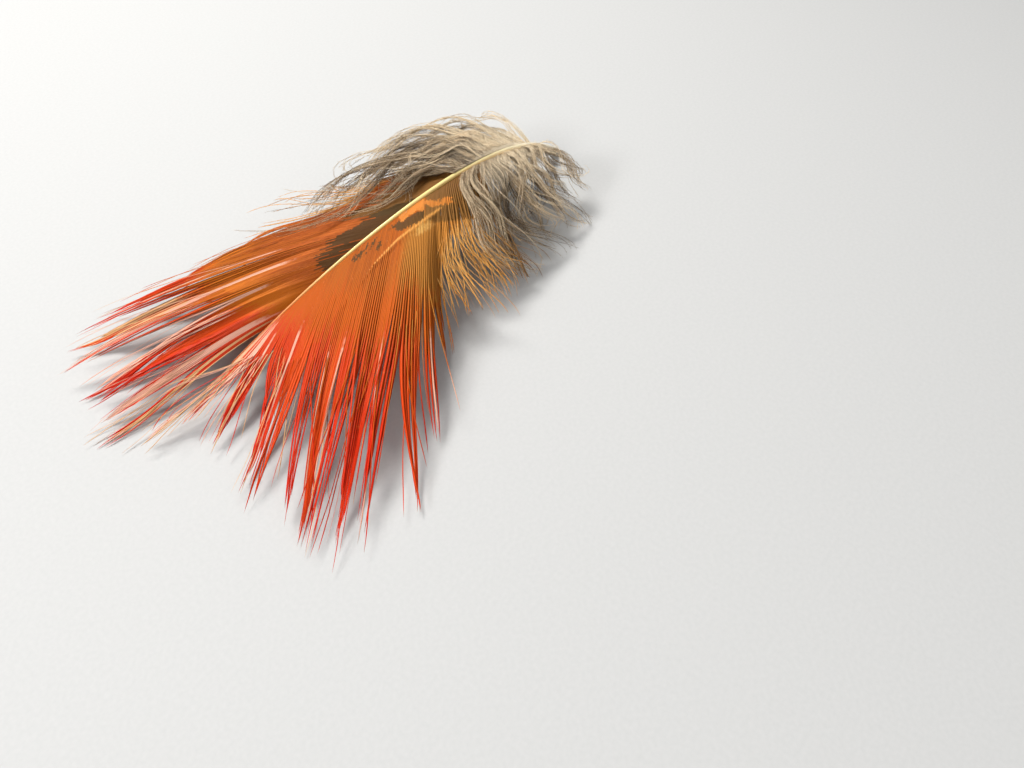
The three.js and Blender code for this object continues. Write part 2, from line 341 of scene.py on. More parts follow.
def write_mesh(name, groups, material):
    """One object from groups of pointed tubes. Each group also has fields, numbers per tube, station and corner."""
    starts, totals, corners, uvs, points, values = [], [], [], [], [], {}
    base, loops = 0, 0
    for group in groups:
        rings = group["rings"]
        vertices, faces, maps = pointed_tubes(rings, group["cells"], group["shares"])
        inside_out = signed_volume(vertices, faces) < 0
        for face, spot in zip(faces, maps):
            size = face.shape[-1]
            face, spot = face.reshape(-1, size), spot.reshape(-1, size, 2)
            if inside_out:
                face, spot = face[:, ::-1], spot[:, ::-1]
            corners.append(face.ravel() + base)
            uvs.append(spot.reshape(-1, 2))
            totals.append(np.full(len(face), size))
        for field, numbers in group["fields"].items():
            full = np.broadcast_to(numbers, rings.shape[:3])
            kept = np.concatenate([full[:, :-1].reshape(len(rings), -1), full[:, -1, :1]], 1)
            values.setdefault(field, []).append(kept.ravel())
        points.append(vertices)
        base += len(vertices)
    totals = np.concatenate(totals)
    starts = np.concatenate([[0], np.cumsum(totals)[:-1]])
    mesh = bpy.data.meshes.new(name)
    mesh.vertices.add(base)
    mesh.loops.add(int(totals.sum()))
    mesh.polygons.add(len(totals))
    mesh.vertices.foreach_set("co", (np.concatenate(points) * MM).astype(np.float32).ravel())
    mesh.polygons.foreach_set("loop_start", starts.astype(np.int32))
    mesh.loops.foreach_set("vertex_index", np.concatenate(corners).astype(np.int32))
    mesh.update(calc_edges=True)
    mesh.polygons.foreach_set("use_smooth", np.ones(len(totals), bool))
    mesh.uv_layers.new(name="OFBake").data.foreach_set("uv", np.concatenate(uvs).astype(np.float32).ravel())
    for field, parts in values.items():
        layer = mesh.attributes.new(field, "FLOAT", "POINT")
        layer.data.foreach_set("value", np.concatenate(parts).astype(np.float32))
    mesh.materials.append(material)
    piece = bpy.data.objects.new(name, mesh)
    bpy.context.collection.objects.link(piece)
    triangles = int((totals - 2).sum())
    print(name + ":", triangles, "triangles, lowest point", round(float(np.concatenate(points)[:, 2].min()), 3), "mm")
    return piece


def signed_volume(vertices, faces):
    """Sum over all faces' triangles of the box product of their corners, which is positive if they face out."""
    total = 0.0
    for face in faces:
        face = face.reshape(-1, face.shape[-1])
        for k in range(1, face.shape[-1] - 1):
            a, b, c = vertices[face[:, 0]], vertices[face[:, k]], vertices[face[:, k + 1]]
            total += float(np.einsum("ij,ij->i", a, np.cross(b, c)).sum())
    return total


# %% [markdown]
# ## Materials from keratin
# All of a feather is keratin, the stuff of nails and horn, with an index of refraction near 1.54. What differs
# is how it grew: the shaft is polished horn, the hooked barbs make a satin sheet, and down scatters light like
# wool. The marks are pigment, laid down barb by barb, so they have ragged edges where each barb ends them at
# its own place. The marks are therefore signed distances on the barbs, in millimetres, cut off with fine noise.
# On top of the pigment some light and shade is painted into the colour: highlights on the barbs' crests, on
# pinkish streaks and on the upper wisps of down, and shade in the gaps between barbs, on the shaft's sides and
# underside and in the deeper wisps.

# %% Colour and node helpers
KERATIN_IOR = 1.54


def linear(hex_color):
    """sRGB hex to linear light: the low part divided by 12.92, the rest raised to 2.4 after a shift of 0.055."""
    srgb = np.array([int(hex_color[k:k + 2], 16) for k in (1, 3, 5)]) / 255
    light = np.where(srgb <= 0.04045, srgb / 12.92, ((srgb + 0.055) / 1.055) ** 2.4)
    return (*light.tolist(), 1.0)


def grow(tree, kind, inputs=None, **settings):
    """One node with its settings. Each input is a number, a colour or the socket it is linked from."""
    node = tree.nodes.new(kind)
    for name, value in settings.items():
        setattr(node, name, value)
    for name, value in (inputs or {}).items():
        if isinstance(value, bpy.types.NodeSocket):
            tree.links.new(value, node.inputs[name])
        else:
            node.inputs[name].default_value = value
    return node


def new_material(name):
    """An empty node material with its shader, and the shader to set up."""
    material = bpy.data.materials.new(name)
    material.use_nodes = True
    return material, material.node_tree, material.node_tree.nodes["Principled BSDF"]


# %% Horn of the shaft
horn, tree, shader = new_material("polished_horn_of_the_shaft")
# cream at the quill, gold in the middle and orange towards the fringe, with faint growth streaks,
# and painted light and shade on the round shaft: a cream top, darker gold sides and a darker underside
place = grow(tree, "ShaderNodeAttribute", attribute_name="place").outputs["Fac"]
share = grow(tree, "ShaderNodeMapRange", {"Value": place, "From Min": 0.0, "From Max": SHAFT_THREAD}).outputs["Result"]
ramp = grow(tree, "ShaderNodeValToRGB", {"Fac": share})
stops = [(0.0, "#eee0bc"), (0.12, "#fff6dc"), (0.27, "#fff2c4"), (0.42, "#ffeea4"), (0.56, "#ffe890"),
         (0.68, "#ffde88"), (0.84, "#f0a05c"), (1.0, "#d8602c")]
while len(ramp.color_ramp.elements) < len(stops):
    ramp.color_ramp.elements.new(1.0)
for element, (position, color) in zip(ramp.color_ramp.elements, stops):
    element.position = position
    element.color = linear(color)
around = grow(tree, "ShaderNodeAttribute", attribute_name="around").outputs["Fac"]
streak_place = grow(tree, "ShaderNodeCombineXYZ", {"X": around, "Y": place}).outputs["Vector"]
streak_scale = grow(tree, "ShaderNodeVectorMath", {0: streak_place, 1: (7.0, 0.35, 1.0)}, operation="MULTIPLY")
streaks = grow(tree, "ShaderNodeTexNoise", {"Vector": streak_scale.outputs[0], "Scale": 1.0, "Detail": 3.0})
darker = grow(tree, "ShaderNodeMapRange", {"Value": streaks.outputs["Fac"], "From Min": 0.35, "From Max": 0.75,
                                           "To Min": 0.0, "To Max": 0.15}).outputs["Result"]
horn_color = grow(tree, "ShaderNodeMix", {0: darker, 6: ramp.outputs["Color"], 7: linear("#d09a4a")},
                  data_type="RGBA", blend_type="MULTIPLY").outputs[2]
# painted shade: the sides of the shaft turn a darker gold while the top stays cream, as light falls on a round tube
painted_flank_shade = grow(tree, "ShaderNodeAttribute", attribute_name="painted_flank_shade").outputs["Fac"]
horn_color = grow(tree, "ShaderNodeMix", {0: painted_flank_shade, 6: horn_color, 7: linear("#e2a040")}, data_type="RGBA").outputs[2]
# painted shade: the underside of the shaft is mixed towards a darker brown
under = grow(tree, "ShaderNodeAttribute", attribute_name="under").outputs["Fac"]
horn_color = grow(tree, "ShaderNodeMix", {0: under, 6: horn_color, 7: linear("#9a6c34")}, data_type="RGBA").outputs[2]
bump = grow(tree, "ShaderNodeBump", {"Height": streaks.outputs["Fac"], "Strength": 0.25, "Distance": 0.00004})
tree.links.new(horn_color, shader.inputs["Base Color"])
tree.links.new(bump.outputs["Normal"], shader.inputs["Normal"])
shader.inputs["Roughness"].default_value = 0.3
shader.inputs["IOR"].default_value = KERATIN_IOR
shader.inputs["Coat Weight"].default_value = 0.35
shader.inputs["Coat Roughness"].default_value = 0.18

# %% [markdown]
# ## The shaft
# The shaft is one tapering tube of horn. Its bare foot is round, and further on it is a little higher than it
# is wide, with a groove along its underside. A lathe can't give that, so it is a section of twenty points
# carried along the arched line, with a rounded foot and a thread-thin end that is lost in the fringe.

# %% Shaft
SHAFT_CORNERS = 20
FOOT_ROUNDING = 0.5
foot_places = FOOT_ROUNDING * (1 - np.cos(np.linspace(0, np.pi / 2, 7)))
shaft_places = np.r_[foot_places, np.linspace(1.0, SHAFT_THREAD, 130)]


def shaft_rings(places):
    """An oval carried along the shaft's line, rounded at the foot, with a bell-shaped dent along its underside."""
    radius = np.interp(places, SHAFT_RADIUS[:, 0], SHAFT_RADIUS[:, 1])
    radius = radius * np.sqrt(np.clip(1 - (1 - np.clip(places / FOOT_ROUNDING, 0, 1)) ** 2, 0.02, 1))
    angle = 2 * np.pi * np.arange(SHAFT_CORNERS) / SHAFT_CORNERS
    grown = smooth(places, 9, 20)[:, None]
    dent = 0.34 * grown * np.exp(-(((angle + np.pi / 2 + np.pi) % (2 * np.pi) - np.pi) / 0.45) ** 2)
    wide = radius[:, None] * np.cos(angle) * (1 - 0.1 * grown)
    high = radius[:, None] * np.sin(angle) * (1 + 0.08 * grown) * (1 - dent)
    line = shaft_point(places)
    along = unit(np.gradient(line, axis=0))
    across = unit(np.cross([0.0, 0.0, 1.0], along))
    up = np.cross(along, across)
    rings = line[:, None] + across[:, None] * wide[..., None] + up[:, None] * high[..., None]
    rings[-1] = line[-1]
    return rings, angle


rings, angle = shaft_rings(shaft_places)
rings[..., 2] = np.maximum(rings[..., 2], 0.02)
quill = write_mesh("quill", [{
    "rings": rings[None],
    "cells": np.array([[0.02, 0.0, 0.98, 1.0]]),
    "shares": np.ones(SHAFT_CORNERS),
    "fields": {
        "place": shaft_places[None, :, None],
        "around": np.abs(np.sin(angle / 2))[None, None, :],
        # painted shade, strongest where the ring turns to the sides
        "painted_flank_shade": smooth(shaft_places, 10, 22)[None, :, None] * 0.5 * np.abs(np.cos(angle)) ** 3,
        # painted shade on the half of the ring that faces down
        "under": (0.6 * np.clip(-np.sin(angle), 0, 1) ** 2)[None, None, :],
    },
}], horn)
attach(quill, "root")
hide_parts("feather")

# %% [markdown]
# ## Ribbons: the section of a barb
# A barb is a fine keratin shaft with a row of hooked barbules on each side, so thin that the eye sees a ribbon
# with a raised line along it. The section has six corners: two thin edges, the crest between its two feet, and
# a shallow keel below. Each ribbon is tilted a little, so that its edge lies over its neighbour as tiles do.

# %% Ribbon rings
CREST_HEIGHT = 0.055
CREST_HALF = 0.055
KEEL_DEPTH = 0.04
RIBBON_SHARES = np.array([3, 2, 2, 3, 1.5, 1.5])


def ribbon_rings(paths, side, half, twist, relief):
    """Six corners round each path point: edge, foot, crest, foot, edge and keel, turned about the path by twist.
    relief is the share of the crest's full height."""
    along, across, out = directions(paths, side)
    wide = across * np.cos(twist)[..., None] + out * np.sin(twist)[..., None]
    high = out * np.cos(twist)[..., None] - across * np.sin(twist)[..., None]
    crest = np.minimum(CREST_HALF, 0.45 * half)
    lift = CREST_HEIGHT * np.minimum(1, half / 0.12) * relief
    zero = np.zeros_like(half)
    sideways = np.stack([-half, -crest, zero, crest, half, zero], -1)
    upwards = np.stack([zero, 0.25 * lift, lift, 0.25 * lift, zero, -KEEL_DEPTH * np.minimum(1, half / 0.12)], -1)
    return paths[:, :, None] + wide[:, :, None] * sideways[..., None] + high[:, :, None] * upwards[..., None]


def gap_to_neighbours(paths, plan):
    """Distance across to the nearer neighbour of the same lock, measured at right angles to the barb."""
    along = unit(np.gradient(paths, axis=1))
    step = np.diff(paths, axis=0)
    step = step - along[:-1] * np.einsum("bmk,bmk->bm", step, along[:-1])[..., None]
    gap = np.linalg.norm(step, axis=-1)
    gap[np.diff(plan["lock"]) != 0] = np.inf
    far = np.full((1, gap.shape[1]), np.inf)
    nearer = np.minimum(np.concatenate([far, gap]), np.concatenate([gap, far]))
    return np.where(np.isfinite(nearer), nearer, 0.3)


def reach_along(paths):
    """Distance along each path from its root, in mm."""
    step = np.linalg.norm(np.diff(paths, axis=1), axis=-1)
    return np.concatenate([np.zeros((len(paths), 1)), np.cumsum(step, axis=1)], 1)


# %% [markdown]
# ## Spikes: barbules that have come loose
# Where no hooks hold them, barbules stand off the barb as fine soft spikes. Each is a three-sided closed spike
# with one bend, drawn about twice as thick as a real one so that it still shows. They are set along a path at
# even steps with some chance, on both sides, and each leans towards the barb's tip.

# %% Spike rings
SPIKE_SHARES = np.array([1, 1, 1])


def spikes_on(paths, side, dice, step, length, width, start, end, lean=(35, 65), roll=50, weight=None, bent=True):
    """Spikes from start to end (shares of the path). Returns their rings and, for each, its barb and its part.
    A spike leaves at lean degrees from the path, turned up or down by up to roll degrees, and bends forward, or
    runs straight where bent is False, which halves its faces."""
    along, across, out = directions(paths, side)
    reach = reach_along(paths)
    total = reach[:, -1] * (end - start)
    count = np.maximum((total / step).astype(int), 0)
    barb = np.repeat(np.arange(len(paths)), count)
    order = np.arange(count.sum()) - np.repeat(np.cumsum(count) - count, count)
    share = start + (end - start) * (order + dice.uniform(0, 1, len(order))) / np.maximum(count[barb], 1)
    if weight is not None:
        kept = dice.uniform(0, 1, len(barb)) < weight(barb, share)
        barb, order, share = barb[kept], order[kept], share[kept]
    spot = np.clip(share, 0, 0.999) * (paths.shape[1] - 1)
    low = spot.astype(int)
    mix = (spot - low)[:, None]

    def at(field):
        """The field between the two stations on either side of the root."""
        return field[barb, low] * (1 - mix) + field[barb, low + 1] * mix

    root, forward, wide, up = at(paths), unit(at(along)), unit(at(across)), unit(at(out))
    angle = np.radians(dice.uniform(*lean, len(barb)))[:, None]
    turn = np.radians(dice.uniform(-roll, roll, len(barb)))[:, None]
    hand = np.where(order % 2, 1.0, -1.0)[:, None]
    outwards = hand * np.cos(turn) * wide + np.sin(turn) * up
    long = (length * dice.uniform(0.6, 1.15, len(barb)) * (1 - 0.55 * share))[:, None]
    leaving = np.cos(angle) * forward + np.sin(angle) * outwards
    further = unit(leaving + 0.75 * forward + 0.25 * dice.normal(0, 1, (len(barb), 3)))
    middle = root + leaving * long * 0.5
    tip = middle + further * long * 0.5
    ring_turn = 2 * np.pi * np.arange(3) / 3
    second = np.cross(leaving, up)
    second = unit(np.where(np.linalg.norm(second, axis=-1, keepdims=True) < 0.2, np.cross(leaving, wide), second))
    third = np.cross(leaving, second)
    round_it = second[:, None] * np.cos(ring_turn)[:, None] + third[:, None] * np.sin(ring_turn)[:, None]
    kept = [0, 1, 2] if bent else [0, 2]
    rings = np.stack([root, middle, tip], 1)[:, kept, None] + np.zeros((1, 1, 3, 1))
    thick = width / 2 * np.array([1.0, 0.75, 0.0])[kept]
    rings = rings + round_it[:, None] * thick[None, :, None, None]
    rings[..., 2] = np.maximum(rings[..., 2], GROUND_GAP)
    return rings, barb, share


GROUND_GAP = 0.03

# %% [markdown]
# ## Pigment of the barbs
# The blotched side has one blackish-brown blotch beside the shaft, whose outer end breaks up into teeth. The
# frayed side has two orange marks beside the shaft, a dark patch between them, a pale crease and a few flecks.
# Each is written as a signed distance in place and reach, positive inside, with a chance shift for each barb.
# The scarlet starts at its own reach on each barb, which grows from the feather's end back towards the quill.

# %% Signed distances of the marks
BLOTCH_REACH = np.array([
    [36, -1.0], [38, 1.8], [39.6, 4.4], [41.1, 5.9], [42.5, 5.6], [43.5, 6.1], [44.3, 7.1], [45.5, 7.7], [47.1, 7.2],
    [49.4, 6.5], [51.4, 4.9], [53.4, 2.8], [54.8, 0.2], [55.6, -1.5],
])
CREASE_REACH = np.array([[31, 4.5], [34.4, 5.0], [36.2, 5.5], [38, 6.0], [41.4, 6.4], [42.9, 7.2], [44.4, 8.0],
                         [45.3, 8.9], [50, 13.5]])
CREASE_HEIGHT = 0.22
SCARLET_FROM_BLOTCHED = np.array([[36, 36], [47.3, 24.3], [55.8, 10.8], [61.4, 1.8], [66, -4]])
SCARLET_FROM_FRAYED = np.array([[34, 27], [36.5, 26], [38, 23], [41.3, 21.5], [44.1, 20.5], [47, 18], [50.4, 14.1],
                                [54.9, 8.5], [59.9, 3], [66, -3]])


def crease_offset(place, reach):
    """Distance past the crease along the barb, and how much of the crease is left at that place."""
    offset = reach - np.interp(place, CREASE_REACH[:, 0], CREASE_REACH[:, 1])
    return offset, smooth(place, 32, 34.5) * (1 - smooth(place, 42, 51))


def near_spot(place, reach, middle, size):
    """Signed distance inside an oval spot: 1 less the scaled distance to its middle, times its smaller radius."""
    scaled = np.hypot((place - middle[0]) / size[0], (reach - middle[1]) / size[1])
    return (1 - scaled) * min(size)


def blotched_marks(place, reach, shift, tone):
    """The blotch is bounded by its reach at each place, which each barb overshoots or misses by its shift."""
    blotch = np.interp(place, BLOTCH_REACH[:, 0], BLOTCH_REACH[:, 1]) + 1.3 * shift - reach
    blotch = np.minimum(blotch, (reach - 0.4) * 1.2) - 3.0 * ((tone > 0.9) & (place < 52))
    olive = np.minimum(43 + 2 * shift - place - 0.4 * reach, 10 + 3 * shift - reach)
    none = np.full_like(place, -9.0)
    return {"dark": blotch, "orange": none, "olive": olive, "buff": none}


def frayed_marks(place, reach, shift, tone):
    """Two orange marks, the dark patch between them, the flecks, the olive start of the vane and the crease."""
    long_reach = np.interp(place, [36.6, 37.2, 38.2, 39, 39.8, 40.8, 41.6, 42.3], [2.6, 3.2, 2.2, 2.6, 2.2, 3.1, 1.4, 0])
    long_mark = np.minimum(np.minimum(long_reach - reach, reach - 0.2), np.minimum(place - 36.7, 42.3 - place))
    bent_line = np.interp(place, [31.8, 33.8, 35.4, 36.6], [4.25, 3.6, 2.9, 1.6])
    bent_mark = np.minimum(0.62 - np.abs(reach - bent_line), np.minimum(place - 31.6, 36.6 - place))
    patch_low = np.interp(place, [36.5, 39.6, 41.5, 42.8], [3.1, 2.4, 1.9, 1.9])
    patch_high = np.interp(place, [36.5, 39, 41, 42.2, 43], [6.0, 5.2, 4.7, 3.4, 1.9])
    patch = np.minimum(np.minimum(reach - patch_low, patch_high - reach), np.minimum(place - 36.9, 43 - place))
    flecks = [near_spot(place, reach, middle, size) for middle, size in (
        ((46.1, 2.6), (0.5, 0.9)), ((44.7, 4.4), (0.35, 0.9)), ((46.6, 3.9), (0.4, 0.6)), ((48.6, 3.1), (0.8, 0.9)),
        ((47.4, 2.2), (0.4, 0.5)), ((49.5, 2.6), (0.4, 0.7)),
    )]
    flecks = [fleck * 1.3 + 0.15 * shift for fleck in flecks]
    dark = np.maximum.reduce([patch + 0.4 * shift, *flecks])
    edge = np.interp(reach, [0, 4.4, 5.6, 6.7, 7.3, 8.0, 9.0, 14], [36.9, 37.4, 36.6, 35.3, 33.9, 31.7, 30.0, 28.0])
    olive = edge - place + 0.5 * shift
    buff = near_spot(place, reach, (36.7, 7.1), (1.7, 1.0)) + 0.25 * shift
    orange = np.maximum.reduce([long_mark + 0.35 * shift, bent_mark + 0.2 * shift])
    return {"dark": dark, "orange": orange, "olive": olive, "buff": buff}


# %% [markdown]
# ## Finish of the vanes
# The two vanes share their keratin and differ in ground colour and marks. One function builds either: ground
# colour, the orange and scarlet that take over outwards, the olive start, the marks, a painted pinkish-white
# sheen on some locks and barbs, a painted highlight along each barb's crest, painted shade on the edges and
# keel where barbs meet, and last the dull underside. A herringbone of barbules gives the satin its direction:
# real ones stand 0.03 mm apart, drawn here at 0.2 mm so that they show.

# %% Vane material
BARBULE_STEP = 0.2


def vane_material(name, ground, warm, brown, glow):
    """Layers of colour, each mixed in by a field of the barbs that is cut off smoothly with a little noise."""
    material, tree, shader = new_material(name)
    read = {field: grow(tree, "ShaderNodeAttribute", attribute_name=field).outputs["Fac"] for field in (
        "place", "reach", "red", "tone", "lock_tone", "crest", "under", "chevron", "dark", "orange", "olive",
        "crease", "crease_on", "buff", "straw", "painted_sheen", "soft", "loose", "edge", "lined")}
    spot = grow(tree, "ShaderNodeCombineXYZ", {"X": read["reach"], "Y": read["tone"], "Z": read["place"]})
    spot = grow(tree, "ShaderNodeVectorMath", {0: spot.outputs["Vector"], 1: (1.6, 40.0, 0.5)}, operation="MULTIPLY")
    noise = grow(tree, "ShaderNodeTexNoise", {"Vector": spot.outputs[0], "Scale": 1.0, "Detail": 2.0}).outputs["Fac"]
    ragged = grow(tree, "ShaderNodeMapRange", {"Value": noise, "From Min": 0.25, "From Max": 0.75,
                                               "To Min": -0.45, "To Max": 0.45}, clamp=False).outputs["Result"]

    def layer(below, color, field, low, high, strength=1.0, rough=1.0):
        """The colour over what is below, where the field plus noise passes from low to high."""
        shifted = grow(tree, "ShaderNodeMath", {0: ragged, 1: rough, 2: field}, operation="MULTIPLY_ADD").outputs[0]
        mask = grow(tree, "ShaderNodeMapRange", {"Value": shifted, "From Min": low, "From Max": high, "To Min": 0.0,
                                                 "To Max": strength}, interpolation_type="SMOOTHSTEP")
        return grow(tree, "ShaderNodeMix", {0: mask.outputs["Result"], 6: below, 7: color}, data_type="RGBA").outputs[2]

    color = layer(linear(ground), linear(warm), read["tone"], 0.2, 0.8, rough=0.6)
    color = layer(color, linear("#cc8c3e"), read["lined"], 0.35, 0.9, 0.85, rough=0.2)
    color = layer(color, linear(glow), read["red"], -10.0, -2.0, 0.9, rough=4.0)
    color = layer(color, linear("#d43c06"), read["red"], -1.0, 6.0, rough=3.5)
    color = layer(color, linear("#e42a12"), read["red"], 7.0, 18.0, 0.85, rough=5.0)
    color = layer(color, linear("#f46a1c"), read["lock_tone"], 0.6, 0.9, 0.3, rough=0.2)
    color = layer(color, linear("#eaae66"), read["loose"], 0.1, 0.7, 0.95, rough=0.5)
    color = layer(color, linear(brown), read["olive"], -0.6, 0.8, 0.92)
    color = layer(color, linear("#54401f"), read["dark"], -0.15, 0.25, 0.9, rough=1.2)
    color = layer(color, linear("#e48e3c"), read["orange"], -0.1, 0.15, 0.95, rough=1.0)
    away = grow(tree, "ShaderNodeMath", {0: read["crease"]}, operation="ABSOLUTE").outputs[0]
    inside = grow(tree, "ShaderNodeMath", {0: away, 1: -1.0, 2: read["crease_on"]}, operation="MULTIPLY_ADD").outputs[0]
    color = layer(color, linear("#fbb25e"), inside, 0.4, 1.0, 0.85, rough=0.25)
    color = layer(color, linear("#f8c070"), read["buff"], -0.3, 0.7, 0.85, rough=0.8)
    # painted highlight: a pinkish-white sheen on the listed locks, a few single barbs and the streak barbs
    color = layer(color, linear("#ffcab4"), read["painted_sheen"], 0.25, 1.0, 0.85, rough=0.4)
    color = layer(color, linear("#eec08c"), read["straw"], 0.2, 0.9, 0.9, rough=0.5)
    color = layer(color, linear("#94785a"), read["soft"], 0.2, 0.9, 0.9, rough=0.3)
    # painted highlight: the crest of each ribbon is lightened, more in the lined zone and where the hooks let go
    painted_crest_highlight = grow(tree, "ShaderNodeMix", {0: 0.55, 6: color, 7: linear("#ffe0a8")}, data_type="RGBA",
                   blend_type="SOFT_LIGHT").outputs[2]
    color = grow(tree, "ShaderNodeMix", {0: read["crest"], 6: color, 7: painted_crest_highlight}, data_type="RGBA").outputs[2]
    turned = grow(tree, "ShaderNodeMath", {0: read["chevron"], 1: 2 * np.pi / BARBULE_STEP}, operation="MULTIPLY")
    barbules = grow(tree, "ShaderNodeMath", {0: turned.outputs[0]}, operation="SINE").outputs[0]
    shade = grow(tree, "ShaderNodeMapRange", {"Value": barbules, "From Min": -1.0, "From Max": 1.0, "To Min": 0.0,
                                              "To Max": 0.25}).outputs["Result"]
    darker = grow(tree, "ShaderNodeMix", {0: shade, 6: color, 7: linear("#8a4820")}, data_type="RGBA",
                  blend_type="MULTIPLY").outputs[2]
    # painted shade: the edges and keel of each ribbon are darkened where the barbs meet
    painted_gap_shade = grow(tree, "ShaderNodeMix", {0: read["edge"], 6: darker, 7: linear("#8a6038")}, data_type="RGBA",
                blend_type="MULTIPLY").outputs[2]
    dull = grow(tree, "ShaderNodeMix", {0: read["under"], 6: painted_gap_shade, 7: linear("#a8765a")}, data_type="RGBA")
    bump = grow(tree, "ShaderNodeBump", {"Height": barbules, "Strength": 0.3, "Distance": 0.00002})
    tree.links.new(dull.outputs[2], shader.inputs["Base Color"])
    tree.links.new(bump.outputs["Normal"], shader.inputs["Normal"])
    gloss = grow(tree, "ShaderNodeMapRange", {"Value": read["red"], "From Min": -2.0, "From Max": 16.0,
                                              "To Min": 0.55, "To Max": 0.3}).outputs["Result"]
    tree.links.new(gloss, shader.inputs["Roughness"])
    shader.inputs["IOR"].default_value = KERATIN_IOR
    shader.inputs["Specular IOR Level"].default_value = 0.15
    return material


blotched_barbs = vane_material("satin_barbs_of_the_blotched_vane", "#c86820", "#b05412", "#7a5828", "#d8761a")
frayed_barbs = vane_material("satin_barbs_of_the_frayed_vane", "#be6212", "#ae5810", "#866232", "#cc5c0a")

# %% [markdown]
# ## The vanes
# Some hundred and fifteen barbs stand on each side of the shaft, 0.35 mm apart as in the photograph. Their ribbons
# are as wide as the gap to their neighbours while the hooks hold. In the fringe a lock either stays zipped up
# as one glossy pointed blade, or its barbs narrow to threads. Some barbs have slipped out of their lock.

# %% Which barbs a vane has
BARB_SPACING = 0.35
CLOSE_SPACING = 0.25
STRIP_BARBS = 3
VANE_STATIONS = 44
VANE_LIFT = 0.25


def vane_plan(locks, styles, dice):
    """Even barbs from the down's edge to the shaft's end, then extra threads that come out between them part way."""
    plans = [plan_barbs(locks, *span, dice) for span in styles["barbs"]]
    for plan in plans:
        plan["lean"] = np.zeros(len(plan["place"]))
    barbs = sum(len(plan["place"]) for plan in plans)
    for first, last, threads, lean in styles["threads"]:
        plans.append(plan_barbs(locks, first, last, (last - first) / threads, dice))
        plans[-1]["lean"] = np.full(threads, lean)
    plan = {key: np.concatenate([one[key] for one in plans]) for key in plans[0]}
    count = len(plan["place"])
    plan["extra"] = np.arange(count) >= barbs
    plan["zipped"] = np.isin(plan["lock"], styles["ribbons"]) & ~plan["extra"]
    new_lock = np.diff(plan["lock"], prepend=-1) != 0
    strip = np.cumsum((dice.uniform(0, 1, count) < 1 / STRIP_BARBS) | new_lock)
    middle = np.bincount(strip, plan["place"]) / np.maximum(np.bincount(strip), 1)
    plan["to_strip"] = np.where(plan["zipped"] | plan["extra"], 0, middle[strip] - plan["place"])
    plan["stray"] = plan["extra"] | ((dice.uniform(0, 1, count) < 0.1) & ~plan["zipped"])
    blade = 1 - 0.17 * np.abs(plan["rank"]) ** 1.5 - dice.uniform(0, 0.03, count)
    long = dice.uniform(0, 1, count) < 0.7
    brush = np.where(long, dice.uniform(0.93, 1.0, count), dice.uniform(0.78, 0.95, count))
    loose_end = dice.uniform(0.85, 1.04, count)
    plan["end"] = np.select([plan["stray"], plan["zipped"]], [loose_end, blade], brush)
    plan["start"] = np.where(plan["extra"], dice.uniform(0.2, 0.42, count), 0.0)
    first, last = styles["loose"]
    plan["frayed"] = smooth(plan["place"], first - 2, first) * (1 - smooth(plan["place"], last - 1.5, last + 1))
    plan["tone"] = dice.uniform(0, 1, count)
    return plan, barbs


# %% Where the barbs of a vane run, and how wide they are
def vane_paths(locks, side, plan, part, dice, seed):
    """Lock paths with chance added: locks lean and lift as one, strays leave them, and frayed barbs curl back."""
    count = len(plan["place"])
    frayed = plan["frayed"][:, None]
    zipped = plan["zipped"][:, None]
    paths, even = lock_paths(locks, side, plan, part, gather=np.where(plan["zipped"], 1.9, 1.4 + 0.8 * plan["frayed"]))
    across, out = directions(paths, side)[1:]
    lean = np.random.default_rng(seed + 4).normal(0, 0.8, (2, len(locks)))[:, plan["lock"], None]
    leave = plan["lean"] + plan["stray"] * dice.normal(0, np.where(plan["extra"], 1.9, 1.3), count)
    back = dice.uniform(1.5, 6.0, (count, 1))
    curl = frayed * back * smooth(part, 0.5, 1.0) ** 1.5
    swing = 0.7 * frayed * smooth(part, 0.3, 0.9) * np.sin(2 * np.pi * (1.1 * part + dice.uniform(0, 1, (count, 1))))
    drift = wander(dice, count, part, (0.22 + 0.4 * frayed) * (1 - 0.8 * zipped), 0.9) - curl + swing
    drift = drift + lean[0] * smooth(part, 0.4, 1.1) * (1 - even) + leave[:, None] * smooth(part, 0.35, 1.0)
    drift = drift + 0.6 * plan["to_strip"][:, None] * smooth(part, 0.45, 0.8)
    rise = wander(dice, count, part, (0.12 + 0.4 * frayed) * (1 - 0.7 * zipped), 1.1)
    rise = rise + np.abs(lean[1]) * smooth(part, 0.4, 0.9)
    lifted = plan["stray"] * dice.uniform(0.2, 1.0, count) + 0.8 * plan["frayed"] - 0.25 * plan["extra"]
    rise = rise + lifted[:, None] * smooth(part, 0.3, 0.9) - 0.15 * plan["extra"][:, None] * (part < 0.45)
    if side < 0:
        offset, on = crease_offset(plan["place"][:, None], reach_along(paths))
        rise = rise + CREASE_HEIGHT * on * np.exp(-(offset / 0.7) ** 2) * ~plan["extra"][:, None]
    paths = paths + across * drift[..., None] + out * rise[..., None]
    paths[..., 2] += VANE_LIFT * (1 - 1.5 * part)
    return paths


